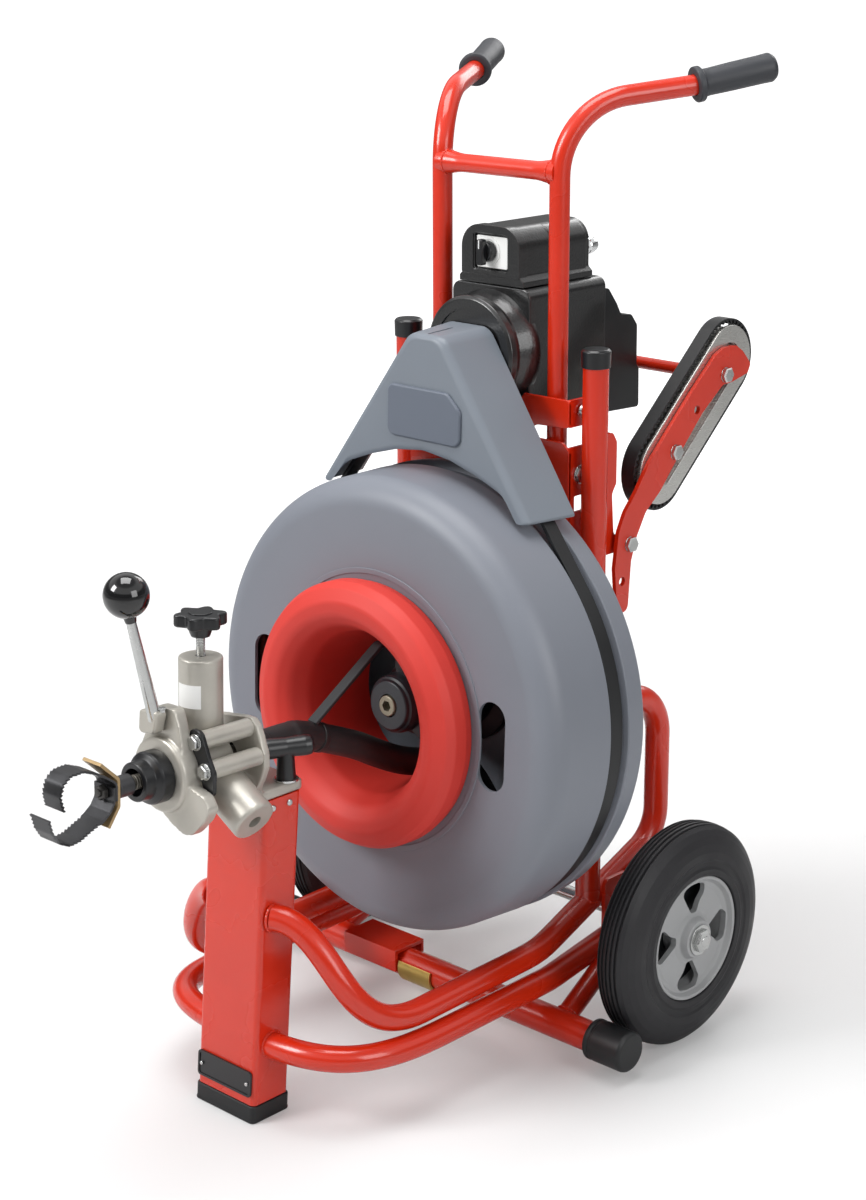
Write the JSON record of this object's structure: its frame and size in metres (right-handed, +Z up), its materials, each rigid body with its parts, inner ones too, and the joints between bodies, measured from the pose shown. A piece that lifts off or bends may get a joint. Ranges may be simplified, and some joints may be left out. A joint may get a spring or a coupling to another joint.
{
  "type": "drum drain cleaning machine",
  "caption": "Wheeled drain cleaner: belt-driven cable drum on a tube frame, cable feeder on a front column, motor, fold-back handle and stair climbers.",
  "frame": {"origin": "on the floor under the centre of the front column's foot", "axes": "+Z up, +X to the machine's right seen from the front, the cable comes out towards -Y"},
  "size_m": [0.564, 0.9204, 1.068],
  "materials": {
    "red_paint": "gloss powder coat",
    "red_plastic": "gloss",
    "grey_plastic": "matte moulded",
    "guard_plastic": "matte moulded",
    "black_cast": "textured black paint",
    "black_plastic": "satin",
    "white_plastic": "matte",
    "rubber": "matte",
    "tyre_rubber": "matte",
    "grip_vinyl": "satin",
    "hub_plastic": "matte",
    "cast_aluminium": "cast, bead blasted",
    "bright_aluminium": "brushed",
    "zinc": "zinc plated",
    "steel": "bare",
    "brass": "satin",
    "yellow_zinc": "yellow zinc"
  },
  "bodies": {
    "frame": {"base_frame": "red_paint", "side_frame_right": "red_paint", "side_frame_left": "red_paint", "rear_cross_plate": "red_paint", "handle_strap": "red_paint", "climber_strap_right": "red_paint", "climber_strap_left": "red_paint", "climber_rod": "red_paint", "front_foot_pad": "rubber", "foot_bar_cap_right": "rubber", "foot_bar_cap_left": "rubber", "post_cap_right": "rubber", "post_cap_left": "rubber", "drive_belt": "rubber", "climber_belt_right": "rubber", "climber_belt_left": "rubber", "badge_plate": "black_plastic", "switch_housing": "black_plastic", "motor_rear_cover": "black_plastic", "front_nozzle": "black_plastic", "foot_bar_clip": "yellow_zinc", "wheel_axle": "zinc", "motor_housing": "black_cast", "feeder_link": "black_cast", "switch_plate": "white_plastic", "drum_spindle": "steel", "belt_guard": "guard_plastic", "feeder_body": "cast_aluminium", "feeder_mount": "cast_aluminium", "climber_frame_right": "bright_aluminium", "climber_frame_left": "bright_aluminium"},
    "wheel_left": {"tyre_left": "tyre_rubber", "wheel_hub_left": "hub_plastic"},
    "wheel_right": {"tyre_right": "tyre_rubber", "wheel_hub_right": "hub_plastic"},
    "drum": {"drum_front_shell": "grey_plastic", "drum_back_shell": "grey_plastic", "inlet_ring": "red_plastic", "cable_coil": "steel", "drum_hub": "black_plastic", "guide_bail": "black_plastic", "guide_hose": "rubber"},
    "cable": {"drain_cable": "steel", "cutter_coupling": "steel", "cutter_holder": "brass", "cutter_blade_upper": "steel", "cutter_blade_lower": "steel"},
    "pulley": {"drive_pulley": "steel"},
    "handle": {"handle_frame": "red_paint", "handle_grip_left": "grip_vinyl", "handle_grip_right": "grip_vinyl"},
    "switch": {"switch_knob": "black_plastic"},
    "lever": {"feed_lever": "cast_aluminium"},
    "clamp": {"clamp_handle": "black_plastic"},
    "plunger": {"feed_plunger": "zinc"},
    "screw": {"feed_screw": "zinc", "star_knob": "black_plastic"},
    "roller_top": {"upper_roller": "steel"},
    "roller_right": {"lower_roller_right": "steel"},
    "roller_left": {"lower_roller_left": "steel"}
  },
  "joints": [
    {"name": "drum_spin", "type": "hinge", "parent": "frame", "child": "drum", "pos_m": [0, 0.311, 0.385], "axis": [0, 0.9994, -0.0336], "continuous": true},
    {"name": "cable_feed", "type": "slide", "parent": "drum", "child": "cable", "axis": [0, -0.9994, 0.0336], "range_m": [0, 0.08]},
    {"name": "pulley_spin", "type": "hinge", "parent": "frame", "child": "pulley", "pos_m": [0, 0.3235, 0.75679], "axis": [0, 0.9994, -0.0336], "continuous": true},
    {"name": "wheel_left_spin", "type": "hinge", "parent": "frame", "child": "wheel_left", "pos_m": [-0.244, 0.4345, 0.127], "axis": [1, 0, 0], "continuous": true},
    {"name": "wheel_right_spin", "type": "hinge", "parent": "frame", "child": "wheel_right", "pos_m": [0.244, 0.4345, 0.127], "axis": [1, 0, 0], "continuous": true},
    {"name": "handle_fold", "type": "hinge", "parent": "frame", "child": "handle", "pos_m": [0, 0.405, 0.633], "axis": [-1, 0, 0], "range_deg": [0, 60]},
    {"name": "switch_turn", "type": "hinge", "parent": "frame", "child": "switch", "pos_m": [-0.004, 0.384, 0.862], "axis": [0, 1, 0], "range_deg": [-45, 45]},
    {"name": "feed_lever_swing", "type": "hinge", "parent": "frame", "child": "lever", "pos_m": [-0.014, -0.09092, 0.45354], "axis": [0, 0.9994, -0.0336], "range_deg": [-20, 20]},
    {"name": "clamp_turn", "type": "hinge", "parent": "frame", "child": "clamp", "pos_m": [0.033, 0.044, 0.38], "axis": [0, 0, 1], "range_deg": [0, 60]},
    {"name": "plunger_slide", "type": "slide", "parent": "frame", "child": "plunger", "axis": [0, -0.0336, -0.9994], "range_m": [0, 0.005]},
    {"name": "knob_turn", "type": "hinge", "parent": "plunger", "child": "screw", "pos_m": [0, -0.03677, 0.51676], "axis": [0, -0.0336, -0.9994], "range_deg": [0, 900]},
    {"name": "roller_top_spin", "type": "hinge", "parent": "plunger", "child": "roller_top", "pos_m": [0, -0.03694, 0.42251], "axis": [0, 0.9994, -0.0336], "continuous": true},
    {"name": "roller_right_spin", "type": "hinge", "parent": "frame", "child": "roller_right", "pos_m": [0.01784, -0.03815, 0.38643], "axis": [0, 0.9994, -0.0336], "continuous": true},
    {"name": "roller_left_spin", "type": "hinge", "parent": "frame", "child": "roller_left", "pos_m": [-0.01784, -0.03815, 0.38643], "axis": [0, 0.9994, -0.0336], "continuous": true}
  ],
  "couplings": [
    {"joint": "pulley_spin", "follows": "drum_spin", "ratio": 10.89},
    {"joint": "knob_turn", "follows": "plunger_slide", "rad_per_m": 3141.6},
    {"joint": "roller_top_spin", "follows": "drum_spin", "ratio": -0.6667},
    {"joint": "roller_right_spin", "follows": "drum_spin", "ratio": -0.6667},
    {"joint": "roller_left_spin", "follows": "drum_spin", "ratio": -0.6667}
  ]
}
